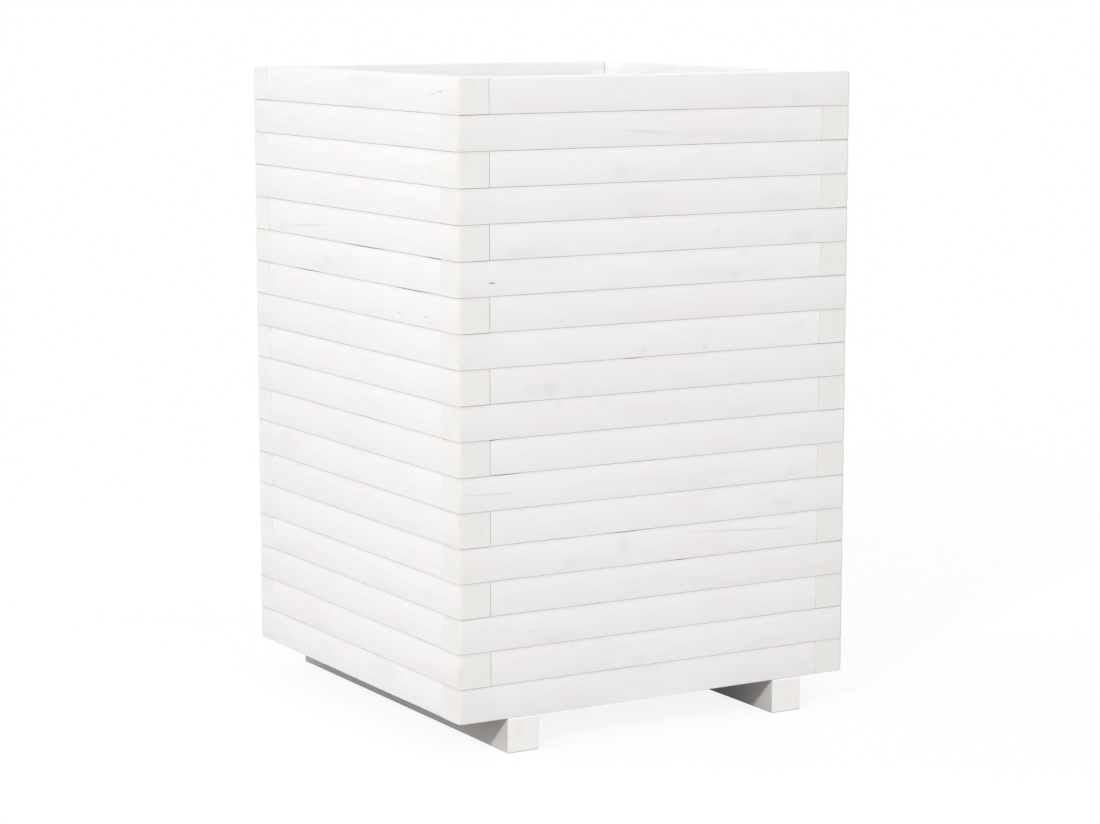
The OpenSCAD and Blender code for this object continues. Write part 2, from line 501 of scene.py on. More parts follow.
@dataclass(frozen=True)
class PaintedPine:
    """Thin white paint on planed pine. Colours are linear, and each share is a tint at its strongest.

    Fields: roughening, what masks add to the roughness where they are 1, and relief, their heights in
    millimetres there.
    """

    effects: Effects
    paint: Colour = (0.868, 0.852, 0.861, 1)
    dull: Colour = (0.815, 0.797, 0.803, 1)
    late_wood: Colour = (0.72, 0.66, 0.60, 1)
    end_grain: Colour = (0.832, 0.819, 0.800, 1)
    # dirt on the faces in the joints, and the colour of the painted shade under each joint
    joint_dirt_and_shade: Colour = (0.40, 0.38, 0.36, 1)
    # painted shade: a darker paint on the faces inside the box
    inner_painted_shade: Colour = (0.82, 0.82, 0.818, 1)
    cream: Colour = (0.84, 0.80, 0.70, 1)
    olive: Colour = (0.66, 0.66, 0.52, 1)
    grey: Colour = (0.70, 0.67, 0.70, 1)
    knot: Colour = (0.42, 0.38, 0.30, 1)
    bare: Colour = (0.36, 0.31, 0.25, 1)
    # the crack is a real mark; its near-black colour is painted shade in its gap
    crack: Colour = (0.05, 0.04, 0.035, 1)
    dull_share: float = 0.35
    ring_share: float = 0.06
    fibre_share: float = 0.08
    fibre_range: tuple[float, float] = (0.45, 0.75)
    pore_share: float = 0.05
    stain_share: float = 0.16
    knot_share: float = 0.05
    mark_share: float = 0.11
    streak_share: float = 0.16
    crack_share: float = 0.5
    joint_share: float = 0.24
    # Painted shade: how strongly the top of a bar darkens just under a joint, and from what share of its
    # height
    joint_shade_share: float = 0.15
    joint_shade_start: float = 0.89
    thin_share: float = 0.17
    bare_share: float = 0.14
    ring_width: float = 3.2 * MM
    ring_sway: float = 3.5 * MM
    ring_pull: float = 1.4
    knot_radius: float = 6 * MM
    knot_chance: float = 0.07
    knot_border: float = 1.2
    end_range: tuple[float, float] = (0.4, 0.9)
    mark_border: float = 0.2
    gloss: float = 0.25
    refraction: float = 1.45
    roughness: float = 0.64
    roughening: tuple[tuple[str, float], ...] = (("Fibre", 0.12), ("Late Wood", -0.05), ("Bare", 0.2))
    relief: tuple[tuple[str, float], ...] = (
        ("Fibre", 0.03),
        ("Pores", -0.02),
        ("Late Wood", 0.022),
        ("Knots", 0.05),
        ("Placed Knots", 0.06),
        ("Bare", -0.08),
        ("Crack", -0.6),
    )

    def bar_material(self, name: str) -> bpy.types.Material:
        """Makes a material for wall bars.

        Args:
            name: the material's name.

        Returns:
            A material that reads the attributes of each bar's mesh.
        """
        material = bpy.data.materials.new(name)
        t = Tree.of(material)
        marks = {
            kind: [t.attribute(kind.attribute(layer), "Vector") for layer in range(MARK_LAYERS)]
            for kind in MarkKind
        }
        at = Readings(
            place=t.attribute("grain_place", "Vector"),
            end=t.attribute("end_grain", "Fac"),
            edge=t.attribute("eased_edge", "Fac"),
            inside=t.attribute("inner_face", "Fac"),
            joint=t.attribute("joint_face", "Fac"),
            under=t.attribute("joint_shade_height", "Fac"),
            tone=t.attribute("bar_tone", "Fac"),
            marks=marks,
        )
        self._finish(t, at)
        return material

    def timber_material(self, name: str, grain: Grain, pith: Vector) -> bpy.types.Material:
        """Makes the material of a CAD node.

        Args:
            name: the material's name.
            grain: which way the node's grain runs.
            pith: a point on the pith of its tree, metres.

        Returns:
            A material on Object coordinates, with the pith along X through the origin of its pattern.
        """
        material = bpy.data.materials.new(name)
        t = Tree.of(material)
        turn = [math.radians(angle) for angle in grain.value]
        place = t.add(
            "ShaderNodeMapping",
            Vector=t.vector("SUBTRACT", t.add("ShaderNodeTexCoord").outputs["Object"], tuple(pith)),
            Rotation=turn,
        ).outputs[0]
        facing = t.vector("MULTIPLY", t.add("ShaderNodeNewGeometry").outputs["Normal"], grain.axis())
        self._finish(t, Readings(place, t.step(t.length(facing), *self.end_range)))
        return material

    def _finish(self, t: Tree, at: Readings) -> None:
        """Adds the paint's shader to a material.

        Args:
            t: the material's tree.
            at: the sockets that say where on the piece it is.
        """
        masks = self._masks(t, at)
        colour = self._colour(t, at, masks)
        rough = t.total(self.roughness, ((masks[name], change) for name, change in self.roughening))
        height = t.total(0.0, ((masks[name], millimetres) for name, millimetres in self.relief))
        relief = t.add("ShaderNodeBump", Height=height, Distance=MM, Strength=1.0).outputs[0]
        shader = t.add("ShaderNodeBsdfPrincipled", Base_Color=colour, Roughness=rough, Normal=relief)
        shader.inputs["IOR"].default_value = self.refraction
        shader.inputs["Specular IOR Level"].default_value = self.gloss
        t.add("ShaderNodeOutputMaterial", Surface=shader.outputs[0])

    def _masks(self, t: Tree, at: Readings) -> dict[str, Feed]:
        """Works out where the wood and its wear show.

        Args:
            t: the material's tree.
            at: the sockets that say where on the piece it is.

        Returns:
            The masks by name: every output of the groups, and the marks by kind.
        """
        stray = t.use(self.effects.knots, Place=at.place, Radius=self.knot_radius, Share=self.knot_chance)
        body, rim, halo = (self._placed(t, at, MarkKind.KNOT, part) for part in ("Body", "Rim", "Halo"))
        pull = t.calc("MULTIPLY", t.calc("MAXIMUM", stray["Halo"], halo), self.ring_pull)
        shown = (
            t.use(
                self.effects.rings, Place=at.place, Width=self.ring_width, Sway=self.ring_sway, Pull=pull
            ),
            t.use(self.effects.fibre, Place=at.place),
            t.use(self.effects.stains, Place=at.place),
            t.use(self.effects.edge, Place=at.place, Edge=at.edge),
        )
        return {
            **{socket.name: socket for sockets in shown for socket in sockets},
            "Knots": t.calc("MAXIMUM", stray["Heart"], t.calc("MULTIPLY", stray["Rim"], self.knot_border)),
            "Placed Knots": t.total(0.0, ((body, 1 - self.mark_border), (rim, self.mark_border))),
            "Stain": self._placed(t, at, MarkKind.STAIN, "Body"),
            "Streak": self._placed(t, at, MarkKind.STREAK, "Body"),
            "Crack": self._placed(t, at, MarkKind.CRACK, "Body"),
        }

    def _placed(self, t: Tree, at: Readings, kind: MarkKind, output: str) -> Feed:
        """Joins the placed marks of one kind.

        Args:
            t: the material's tree.
            at: the sockets that say where on the piece it is.
            kind: the kind of marks.
            output: which mask of theirs: Body, Rim or Halo.

        Returns:
            The greatest of that mask over the layers, or 0 on a piece that has no placed marks.
        """
        best: Feed = 0.0
        for vector in at.marks.get(kind, ()):
            mask = t.use(self.effects.mark, Mark=vector, Place=at.place)[output]
            best = t.calc("MAXIMUM", best, mask)
        return best

    def _colour(self, t: Tree, at: Readings, masks: Mapping[str, Feed]) -> Feed:
        """Lays each tint over the ones before it, the wood first and its wear last.

        Args:
            t: the material's tree.
            at: the sockets that say where on the piece it is.
            masks: where the wood and its wear show.

        Returns:
            The paint's colour.
        """
        colour = t.tint(t.calc("MULTIPLY", at.tone, self.dull_share), self.paint, self.dull)
        colour = t.tint(at.end, colour, self.end_grain)
        # painted shade on the faces inside the box
        colour = t.tint(at.inside, colour, self.inner_painted_shade)
        for mask, share, tint in (
            (masks["Cream"], self.stain_share, self.cream),
            (masks["Olive"], self.stain_share, self.olive),
            (masks["Grey"], self.stain_share, self.grey),
            (masks["Stain"], self.mark_share, self.olive),
            (masks["Late Wood"], self.ring_share, self.late_wood),
            (t.step(masks["Fibre"], *self.fibre_range), self.fibre_share, self.late_wood),
            (masks["Pores"], self.pore_share, self.bare),
            (masks["Knots"], self.knot_share, self.knot),
            (masks["Placed Knots"], self.mark_share, self.knot),
            (masks["Streak"], self.streak_share, self.bare),
            (at.joint, self.joint_share, self.joint_dirt_and_shade),
            # painted shade on the top of each bar, just under the joint above it
            (t.step(at.under, self.joint_shade_start, 1.0), self.joint_shade_share, self.joint_dirt_and_shade),
            (masks["Thin"], self.thin_share, self.late_wood),
            (masks["Bare"], self.bare_share, self.bare),
            # cracks: a real mark, coloured with painted shade in the gap
            (masks["Crack"], self.crack_share, self.crack),
        ):
            colour = t.tint(t.calc("MULTIPLY", mask, share), colour, tint)
        return colour


@dataclass(frozen=True)
class RunnerPineShadedSidesLitEnds(PaintedPine):
    """The runners' paint: painted shade darkens their sides, and painted light brightens their ends."""

    # painted shade: the sides darker, for the deep shade under the box
    paint: Colour = (0.66, 0.641, 0.617, 1)
    # painted light: the end faces lighter than the walls' end grain
    end_grain: Colour = (0.90, 0.885, 0.872, 1)


@dataclass(frozen=True)
class MarkedPine(PaintedPine):
    """The same paint with no stray knots, for the walls that have placed marks."""

    knot_chance: float = 0.0


@dataclass(frozen=True)
class KnottyPine(PaintedPine):
    """The same paint over more stray knots, for the walls that have no placed marks."""

    knot_share: float = 0.11
    knot_chance: float = 0.22


@dataclass(frozen=True)
class ZincPlate:
    """Bright zinc plate on steel screws, with crystals, fine scratches and dulled patches.

    Fields: bright, blue and dull, its colours, linear; crystal_scale, in crystals a metre; worn_range,
    of the clouds that are worn, and worn_share, the dull colour's share at its strongest; roughness, and
    what crystals and wear add to it; scratch, the scratches' depth, metres.
    """

    bright: Colour = (0.62, 0.64, 0.66, 1)
    blue: Colour = (0.50, 0.55, 0.62, 1)
    dull: Colour = (0.36, 0.35, 0.33, 1)
    crystal_scale: float = 900.0
    worn_range: tuple[float, float] = (0.5, 0.7)
    worn_share: float = 0.6
    roughness: float = 0.26
    crystal_rough: float = 0.1
    worn_rough: float = 0.25
    scratch: float = 0.01 * MM

    def material(self) -> bpy.types.Material:
        """Makes the screws' material.

        Returns:
            A material on Object coordinates.
        """
        material = bpy.data.materials.new("zinc_plate")
        t = Tree.of(material)
        place = t.add("ShaderNodeTexCoord").outputs["Object"]
        crystals = t.add("ShaderNodeTexVoronoi", Vector=place, Scale=self.crystal_scale).outputs["Color"]
        crystal = t.parts(crystals)[0]
        clouds = t.noise(place, Pattern.ZINC_CLOUDS, detail=3.0).outputs[0]
        worn = t.step(clouds, *self.worn_range)
        scratches = t.noise(place, Pattern.ZINC_SCRATCHES).outputs[0]
        colour = t.tint(crystal, self.bright, self.blue)
        colour = t.tint(t.calc("MULTIPLY", worn, self.worn_share), colour, self.dull)
        rough = t.total(self.roughness, ((crystal, self.crystal_rough), (worn, self.worn_rough)))
        relief = t.add("ShaderNodeBump", Height=scratches, Distance=self.scratch, Strength=1.0).outputs[0]
        shader = t.add("ShaderNodeBsdfPrincipled", Base_Color=colour, Roughness=rough, Normal=relief)
        shader.inputs["Metallic"].default_value = 1.0
        t.add("ShaderNodeOutputMaterial", Surface=shader.outputs[0])
        return material


# Wall bars


class Wall(Enum):
    """Walls of the box, by their turn from the front wall, clockwise seen from above, in degrees."""

    FRONT = 0
    LEFT = 90
    BACK = 180
    RIGHT = 270

    def node(self, course: int) -> str:
        """Returns the CAD node that holds this wall's bar in a course."""
        pair = "front_back" if self in (Wall.FRONT, Wall.BACK) else "left_right"
        return f"course_{course:02d}_{pair}"


PITH_AWAY = (12 * MM, 85 * MM)
PITH_LEAN = 0.03
TREE_LENGTH = 40.0
MARK_DEPTH = 12 * MM


@dataclass(frozen=True)
class Mark:
    """A mark on the outside of the front or left wall, in millimetres.

    Fields: kind; wall; course, from 1 at the bottom; at, from the front left corner of the box; up, above
    the bottom of the bar; reach and rise, half its length and height; slope, its rise along its length.
    """

    kind: MarkKind
    wall: Wall
    course: int
    at: float
    up: float
    reach: float
    rise: float
    slope: float = 0.0


F, L = Wall.FRONT, Wall.LEFT
KNOT, STAIN, STREAK, CRACK = MarkKind
MARKS = (
    Mark(KNOT, F, 18, 423, 9, 8, 7),
    Mark(STREAK, F, 17, 229, 15, 40, 2, -0.07),
    Mark(STAIN, F, 17, 355, 8, 115, 6, -0.04),
    Mark(KNOT, F, 16, 195, 14, 8, 7),
    Mark(STAIN, F, 16, 197, 5, 12, 5),
    Mark(STAIN, F, 15, 400, 14, 32, 10),
    Mark(STAIN, F, 15, 219, 4, 16, 5),
    Mark(KNOT, F, 14, 431, 10, 16, 9),
    Mark(KNOT, F, 14, 320, 18, 5, 4),
    Mark(STAIN, F, 13, 327, 12, 72, 8),
    Mark(KNOT, F, 13, 342, 8, 9, 6),
    Mark(KNOT, F, 13, 355, 31, 10, 3),
    Mark(CRACK, F, 13, 41, 14, 5, 0.9),
    Mark(KNOT, F, 11, 226, 8, 6, 5),
    Mark(KNOT, F, 11, 304, 6, 5, 4),
    Mark(KNOT, F, 10, 110, 12, 9, 8),
    Mark(STAIN, F, 10, 100, 12, 28, 10),
    Mark(KNOT, F, 9, 176, 29, 8, 6),
    Mark(KNOT, F, 9, 120, 32, 6, 4),
    Mark(STREAK, F, 7, 38, 18, 36, 1.6, -0.03),
    Mark(KNOT, F, 7, 424, 8, 8, 5),
    Mark(KNOT, F, 5, 201, 25, 8, 9),
    Mark(STREAK, F, 5, 354, 25, 96, 1.7, -0.06),
    Mark(STAIN, F, 5, 138, 13, 16, 9),
    Mark(STAIN, F, 2, 223, 8, 14, 6),
    Mark(KNOT, F, 2, 138, 33, 6, 3),
    Mark(CRACK, L, 18, 36, 23, 4, 0.5),
    Mark(CRACK, L, 18, 54, 20, 5, 0.25),
    Mark(STAIN, L, 18, 200, 27, 80, 10),
    Mark(KNOT, L, 14, 421, 7, 9, 7),
    Mark(STREAK, L, 14, 355, 13, 66, 1.5, -0.08),
    Mark(KNOT, L, 13, 302, 15, 10, 3),
    Mark(CRACK, L, 12, 131, 11, 6, 0.3),
    Mark(CRACK, L, 12, 70, 12, 4, 0.45),
)


@dataclass(frozen=True)
class OpenJoint:
    """A stretch where the joint above a bar gapes a little, in millimetres from the front left corner."""

    wall: Wall
    course: int
    start: float
    end: float


OPEN_JOINTS = (
    OpenJoint(F, 8, 2, 46),
    OpenJoint(F, 7, 37, 71),
    OpenJoint(F, 5, 188, 223),
    OpenJoint(F, 4, 261, 285),
    OpenJoint(F, 10, 206, 223),
    OpenJoint(L, 13, 179, 252),
    OpenJoint(L, 13, 4, 74),
    OpenJoint(L, 12, 336, 381),
    OpenJoint(L, 12, 74, 139),
)


@dataclass(frozen=True)
class Surface:
    """A closed tube of rings: points and normals (rings, round, 3), and masks (rings, round).

    Masks: edge, eased edges; end, end grain in sight; inside, the face inside the box; above, below and
    stop, the faces against the bar above, the bar below and the neighbour.
    """

    points: np.ndarray
    normals: np.ndarray
    edge: np.ndarray
    end: np.ndarray
    inside: np.ndarray
    above: np.ndarray
    below: np.ndarray
    stop: np.ndarray


def ripple(along: np.ndarray, draw: np.random.Generator, longest: float, count: int = 5) -> np.ndarray:
    """Works out an uneven line between about -1 and 1.

    It is the sum of sin(2 pi s / length_i + phase_i) * 0.6 ** i, over its greatest value, where each
    length is 0.55 times the one before.

    Args:
        along: distances s along the piece, metres.
        draw: the piece's random numbers.
        longest: the first wave's length, metres.
        count: how many waves.

    Returns:
        The line at each distance.
    """
    order = np.arange(count)
    waves = longest * 0.55**order * draw.uniform(0.85, 1.15, count)
    phases = draw.uniform(0, 2 * np.pi, count)
    weights = 0.6**order
    return np.sin(2 * np.pi * along[:, None] / waves + phases) @ weights / weights.sum()


def bumps(along: np.ndarray, middles: np.ndarray, reaches: np.ndarray, heights: np.ndarray) -> np.ndarray:
    """Returns the sum of height_i * exp(-((s - middle_i) / reach_i) ** 4) at each distance s."""
    return np.exp(-(((along[:, None] - middles) / reaches) ** 4)) @ heights


@dataclass(frozen=True)
class BarForm:
    """Sizes that all wall bars share, in metres.

    A bar's own frame is u along it from its end at the corner of the box, w in from its outside, v up.

    Ends: corner_radius, at the corner of the box; end_softening, the share of an edge's radius that is
    lost where the bar ends; end_tint and end_reach, how strongly and how far end grain tints the corner;
    end_joint, the gap at the square end; ease, where rings stand in an end's reach; far_steps, which of
    those the square end has, and far_reach, its reach in edge radii.

    Long edges: edge_radius and its least and greatest value, edge_limits; unevenness, the share by which
    it wavers; most_spots, spot_reach and spot_depth, of worn spots.

    Faces: crown, of the outside; flush, how far it stands back from the box's face, flush_waver, along
    the bar, and flush_spread, from bar to bar; joint, half the gap to the next course, and joint_waver,
    the share by which it wavers; gape, of an open joint. Fields that end in wave are longest waves.
    """

    length: float
    depth: float
    height: float
    corner_radius: float = 4 * MM
    end_softening: float = 0.8
    end_tint: float = 0.55
    end_reach: float = 55 * MM
    end_joint: float = 0.15 * MM
    ease: tuple[float, ...] = (0, 0.025, 0.09, 0.19, 0.3, 0.475, 0.675, 1)
    far_steps: tuple[int, ...] = (6, 4, 3, 2, 1, 0)
    far_reach: float = 1.6
    edge_radius: float = 0.45 * MM
    edge_limits: tuple[float, float] = (0.3 * MM, 1.8 * MM)
    unevenness: float = 0.22
    edge_wave: float = 0.2
    most_spots: int = 3
    spot_reach: tuple[float, float] = (5 * MM, 20 * MM)
    spot_depth: tuple[float, float] = (0.05 * MM, 0.3 * MM)
    crown: float = 0.7 * MM
    flush: float = 0.075 * MM
    flush_waver: float = 0.0525 * MM
    flush_wave: float = 0.45
    flush_spread: float = 0.06 * MM
    joint: float = 0.09 * MM
    joint_waver: float = 0.3
    lower_wave: float = 0.25
    upper_wave: float = 0.3
    gape: float = 0.55 * MM
    arc_points: int = 5
    face_points: tuple[int, int, int, int] = (7, 2, 2, 2)
    middle_rings: int = 30

    def rings(self) -> np.ndarray:
        """Sets out the rings along the bar: close together at both ends, even between.

        Returns:
            The distance u of each ring.
        """
        ease = np.array(self.ease)
        near = self.corner_radius * ease
        steps = ease[list(self.far_steps)]
        far = self.length - self.end_joint - self.edge_radius * self.far_reach * steps
        middle = np.linspace(near[-1], far[0], self.middle_rings + 2)[1:-1]
        return np.concatenate([near, middle, far])

    def edge_radii(self, u: np.ndarray, draw: np.random.Generator) -> np.ndarray:
        """Works out the radius of the four long edges at each ring.

        Radius = edge_radius * (1 + unevenness * ripple) + worn spots.

        Args:
            u: the rings' distances.
            draw: the bar's random numbers.

        Returns:
            An array (rings, 4), from the lower outside edge round over the top.
        """
        radii = []
        for _ in range(4):
            count = draw.integers(1, self.most_spots + 1)
            middles, reaches = draw.uniform(0, self.length, count), draw.uniform(*self.spot_reach, count)
            worn = bumps(u, middles, reaches, draw.uniform(*self.spot_depth, count))
            radii.append(self.edge_radius * (1 + self.unevenness * ripple(u, draw, self.edge_wave)) + worn)
        return np.clip(np.stack(radii, 1), *self.edge_limits)

    def surface(self, draw: np.random.Generator, open_joints: np.ndarray) -> Surface:
        """Works out one bar's surface.

        The section is a rectangle with rounded corners. Its outside is crowned by
        crown * (1 - (2 t - 1) ** 2) at share t of its height. Near an end, a side draws in by
        r - sqrt(r ** 2 - (r - gap) ** 2), with r the corner's radius on the outside at the corner of the
        box and the edge's radius elsewhere. The top lies lower by gape at each open joint.

        Args:
            draw: the bar's random numbers.
            open_joints: rows of the middle and half length of each open joint above this bar.

        Returns:
            The surface in the bar's own frame.
        """
        u = self.rings()
        radius = self.edge_radii(u, draw)
        eased, eased_tilt = self._ease(u, self.edge_radius)
        corner, corner_tilt = self._ease(u, self.corner_radius)
        radius = radius * (1 - self.end_softening * eased / self.edge_radius)[:, None]
        back = self.flush + self.flush_waver * ripple(u, draw, self.flush_wave)
        outer = self.crown + back + draw.uniform(0, self.flush_spread) + corner
        inner = self.depth - eased
        low = self.joint * (1 + self.joint_waver * ripple(u, draw, self.lower_wave)) + eased
        top = self.height - self.joint * (1 + self.joint_waver * ripple(u, draw, self.upper_wave))
        gap = bumps(u, open_joints[:, 0], open_joints[:, 1], np.full(len(open_joints), self.gape))
        high = top - gap - eased
        centre_w = np.stack([outer, outer, inner, inner], 1) + radius * (1, 1, -1, -1)
        centre_v = np.stack([low, high, high, low], 1) + radius * (1, -1, -1, 1)
        (w, v), (flat_w, flat_v), rounded = self._section(np.stack([centre_w, centre_v]), radius)

        outside = np.clip(-flat_w, 0, 1) ** 2
        tip = eased_tilt[:, None] * (1 - outside) + corner_tilt[:, None] * outside
        spread = np.sqrt(1 - tip**2)
        points = np.stack([np.broadcast_to(u[:, None], w.shape), w, v], 2)
        normals = np.stack([tip, spread * flat_w, spread * flat_v], 2)
        bevel = np.sin(2 * np.arcsin(np.abs(tip)))
        edge = np.maximum(rounded * (1 - np.abs(tip)), bevel)
        near = self.end_tint * np.exp(-((u / self.end_reach) ** 2))[:, None]
        end = np.maximum(np.maximum(tip**2, bevel), near)
        faced = [np.clip(way, 0, 1) ** 2 * (1 - tip**2) for way in (flat_w, flat_v, -flat_v)]
        return Surface(points, normals, edge, end, *faced, np.clip(tip, 0, 1) ** 2)

    def _section(self, centre: np.ndarray, radius: np.ndarray) -> list[np.ndarray]:
        """Joins the four rounded edges and the four faces between them into one line round each ring.

        Args:
            centre: where the edges' centres lie in w and v, an array (2, rings, 4).
            radius: the edges' radii, an array (rings, 4).

        Returns:
            The points' w and v, an array (2, rings, round). Then for each point of the round its normal's
            parts w and v, and how far round an edge it is, 0 on the faces and 1 in the middle of an edge.
        """
        lean = math.atan(4 * self.crown / self.height)
        quarter = np.linspace(0, np.pi / 2, self.arc_points)
        outer = quarter * (1 - lean / (np.pi / 2))
        normal_w = np.stack([-np.sin(outer), -np.cos(lean + outer), np.sin(quarter), np.cos(quarter)])
        normal_v = np.stack([-np.cos(outer), np.sin(lean + outer), np.cos(quarter), -np.sin(quarter)])
        normal = np.stack([normal_w, normal_v])
        arc = centre[..., None] + radius[..., None] * normal[:, None]

        points, normals, rounded = [], [], []
        outwards = ((-1.0, 0.0), (0.0, 1.0), (1.0, 0.0), (0.0, -1.0))
        for side, (count, (out_w, out_v)) in enumerate(zip(self.face_points, outwards)):
            share = np.arange(1, count + 1) / (count + 1)
            face = arc[:, :, side, -1:] * (1 - share) + arc[:, :, (side + 1) % 4, :1] * share
            tilt = np.zeros(count)
            if side == 0:
                face[0] -= self.crown * (1 - (2 * share - 1) ** 2)
                tilt = 4 * self.crown * (2 * share - 1) / self.height
            outward = np.stack([np.full(count, out_w), out_v + tilt]) / np.hypot(1, tilt)
            points += [arc[:, :, side], face]
            normals += [normal[:, side], outward]
            rounded += [np.sin(2 * quarter), np.zeros(count)]
        return [np.concatenate(pieces, -1) for pieces in (points, normals, rounded)]

    def _ease(self, u: np.ndarray, near: float) -> tuple[np.ndarray, np.ndarray]:
        """Works out how a side draws in at the bar's ends.

        Args:
            u: the rings' distances.
            near: the radius at the corner of the box. At the other end it is edge_radius.

        Returns:
            The inset r - sqrt(r ** 2 - (r - gap) ** 2), and the sine of the tilt, minus towards u = 0.
        """
        far = self.edge_radius
        first = np.clip(near - u, 0, near)
        last = np.clip(far - (self.length - self.end_joint - u), 0, far)
        inset = near - np.sqrt(near**2 - first**2) + far - np.sqrt(far**2 - last**2)
        return inset, last / far - first / near


@dataclass(frozen=True)
class Bar:
    """One wall bar, in its wall and course.

    Fields: base, the height of its underside; side, of the box; covered, whether a course lies on it.
    """

    wall: Wall
    course: int
    base: float
    side: float
    covered: bool
    form: BarForm

    @property
    def name(self) -> str:
        """The piece's name."""
        return f"course_{self.course:02d}_{self.wall.name.lower()}_bar"

    @property
    def mirrored(self) -> bool:
        """Every second course is the mirror image of the one below it."""
        return self.course % 2 == 0

    def frame(self) -> tuple[np.ndarray, np.ndarray]:
        """Works out how the bar's own frame lies in the box.

        Returns:
            A matrix and an offset, so that place = matrix @ (own - offset).
        """
        degrees = (360 - self.wall.value) % 360 if self.mirrored else self.wall.value
        cos, sin = round(math.cos(math.radians(degrees))), round(math.sin(math.radians(degrees)))
        flip = -1 if self.mirrored else 1
        matrix = np.array([[flip * cos, flip * sin, 0], [-sin, cos, 0], [0, 0, 1]], float)
        return matrix, np.array([self.side / 2, self.side / 2, -self.base])

    def own(self, at: float) -> float:
        """Turns a distance along this wall into one along the bar.

        Args:
            at: the distance from the front left corner of the box, metres.

        Returns:
            The same place's u.
        """
        half = self.side / 2
        along = (at - half, -half, 0) if self.wall is Wall.FRONT else (-half, at - half, 0)
        matrix, offset = self.frame()
        return float((matrix.T @ np.array(along) + offset)[0])

    def build(self, material: bpy.types.Material, draw: np.random.Generator) -> bpy.types.Object:
        """Makes the bar's object.

        Args:
            material: its finish.
            draw: its random numbers.

        Returns:
            The object, riding on the body and replacing its CAD node.
        """
        joints = [
            (self.own((j.start + j.end) / 2 * MM), (j.end - j.start) / 2 * MM)
            for j in OPEN_JOINTS
            if (j.wall, j.course) == (self.wall, self.course)
        ]
        surface = self.form.surface(draw, np.array(joints).reshape(-1, 2))
        matrix, offset = self.frame()
        points = (surface.points - offset) @ matrix.T
        normals = surface.normals @ matrix.T
        mesh = bpy.data.meshes.new(self.name)
        mesh.from_pydata(points.reshape(-1, 3), [], tube_faces(points.shape[:2], self.mirrored))
        mesh.shade_smooth()
        mesh.normals_split_custom_set_from_vertices(normals.reshape(-1, 3))
        self._add_attributes(mesh, surface, draw)
        mesh.materials.append(material)
        piece = add_object(self.name, mesh)
        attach(piece, BODY)
        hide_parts(self.wall.node(self.course))
        return piece

    def _add_attributes(self, mesh: bpy.types.Mesh, surface: Surface, draw: np.random.Generator) -> None:
        """Stores what the material reads.

        Args:
            mesh: the bar's mesh.
            surface: its surface in its own frame.
            draw: its random numbers.
        """
        own = surface.points.reshape(-1, 3).T
        store(mesh, "grain_place", self._grain(own, draw))
        store(mesh, "end_grain", surface.end * (PALE_END if self.wall is Wall.BACK else 1.0))
        store(mesh, "eased_edge", surface.edge)
        store(mesh, "inner_face", surface.inside)
        above = surface.above if self.covered else 0.0
        below = surface.below if self.course > 1 else 0.0
        store(mesh, "joint_face", above + below + surface.stop)
        # how far up the bar, for the painted shade under the joint above it
        store(mesh, "joint_shade_height", own[2] / self.form.height * self.covered)
        store(mesh, "bar_tone", np.full(len(own[0]), draw.uniform(0, 1)))
        for kind in MarkKind:
            mine = [m for m in MARKS if (m.kind, m.wall, m.course) == (kind, self.wall, self.course)]
            vectors = [self._mark_vector(mark, own) for mark in mine]
            vectors += [np.full(own.T.shape, FAR_OFF)] * MARK_LAYERS
            for layer in range(MARK_LAYERS):
                store(mesh, kind.attribute(layer), vectors[layer])

    def _grain(self, own: np.ndarray, draw: np.random.Generator) -> np.ndarray:
        """Works out each point's place in the tree.

        It is (u + start, w - pith_w - lean_w * u, v - pith_v - lean_v * u), so that the pith is a line
        that leans a little from the bar.

        Args:
            own: the points' u, w and v.
            draw: the bar's random numbers.

        Returns:
            A row for each point.
        """
        u, w, v = own
        away, round_ = draw.uniform(*PITH_AWAY), draw.uniform(0, 2 * np.pi)
        lean_w, lean_v = draw.uniform(-PITH_LEAN, PITH_LEAN, 2)
        along = u + draw.uniform(0, TREE_LENGTH)
        across = w - self.form.depth / 2 - away * np.cos(round_) - lean_w * u
        up = v - self.form.height / 2 - away * np.sin(round_) - lean_v * u
        return np.stack([along, across, up], 1)

    def _mark_vector(self, mark: Mark, own: np.ndarray) -> np.ndarray:
        """Works out each point's vector to a mark: (du / reach, w / depth, dv / rise), with its slope.

        Args:
            mark: the mark.
            own: the points' u, w and v.

        Returns:
            A row for each point, of length 1 where the mark ends.
        """
        u, w, v = own
        middle = self.own(mark.at * MM)
        uphill = mark.slope * (self.own(mark.at * MM + 1) - middle)
        along = (u - middle) / (mark.reach * MM)
        up = (v - mark.up * MM - uphill * (u - middle)) / (mark.rise * MM)
        return np.stack([along, w / MARK_DEPTH, up], 1)


def tube_faces(shape: tuple[int, int], mirrored: bool) -> list[list[int]]:
    """Lists the faces of a tube of rings, with one flat face on each end.

    Args:
        shape: the number of rings, and of points round each.
        mirrored: whether the tube is a mirror image, which turns its faces over.

    Returns:
        Each face as its points' numbers, outwards.
    """
    rings, around = shape
    index = np.arange(rings * around).reshape(rings, around)
    beside = np.roll(index, -1, 1)
    quads = np.stack([index[:-1], index[1:], beside[1:], beside[:-1]], 2).reshape(-1, 4)
    faces = quads.tolist() + [index[0].tolist(), index[-1, ::-1].tolist()]
    return [face[::-1] for face in faces] if mirrored else faces


def add_object(name: str, data: bpy.types.ID) -> bpy.types.Object:
    """Makes an object and puts it in the scene.

    Args:
        name: the object's name.
        data: its mesh, lamp or camera.

    Returns:
        The object, at the origin.
    """
    made = bpy.data.objects.new(name, data)
    bpy.context.scene.collection.objects.link(made)
    return made


